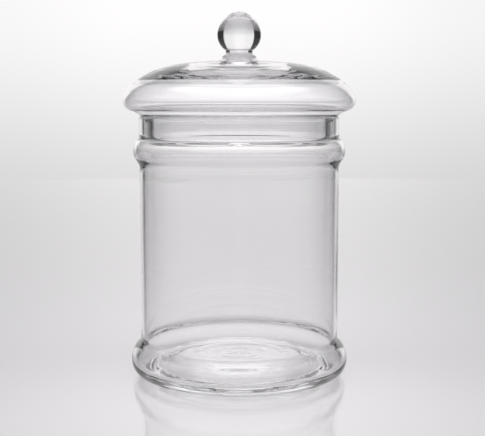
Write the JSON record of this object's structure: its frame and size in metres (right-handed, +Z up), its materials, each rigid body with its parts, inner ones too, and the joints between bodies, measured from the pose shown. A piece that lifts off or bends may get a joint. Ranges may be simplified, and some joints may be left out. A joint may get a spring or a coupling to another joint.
{
  "type": "apothecary jar",
  "caption": "Footed cylindrical clear glass storage jar with a bead under the neck and a lift-off domed lid with an overhanging bulb rim and a ball knob.",
  "frame": {"origin": "centre of the foot's resting plane", "axes": "+Z up along the jar's axis of revolution, from the foot to the knob; X and Y are equivalent"},
  "size_m": [0.1746, 0.1746, 0.2741],
  "materials": {
    "jar_glass": "clear colourless blown glass, fire-polished, faint striae",
    "foot_glass": "clear colourless solid glass, polished",
    "lid_glass": "clear colourless blown glass, fire-polished, faint rings",
    "knob_glass": "clear colourless solid glass, polished"
  },
  "bodies": {
    "jar": {"jar_body": "jar_glass", "foot": "foot_glass"},
    "lid": {"lid_shell": "lid_glass", "knob_collar": "knob_glass", "knob": "knob_glass"}
  },
  "joints": [
    {"name": "lid_lift", "type": "slide", "parent": "jar", "child": "lid", "axis": [0, 0, 1], "range_m": [0, 0.06]}
  ]
}
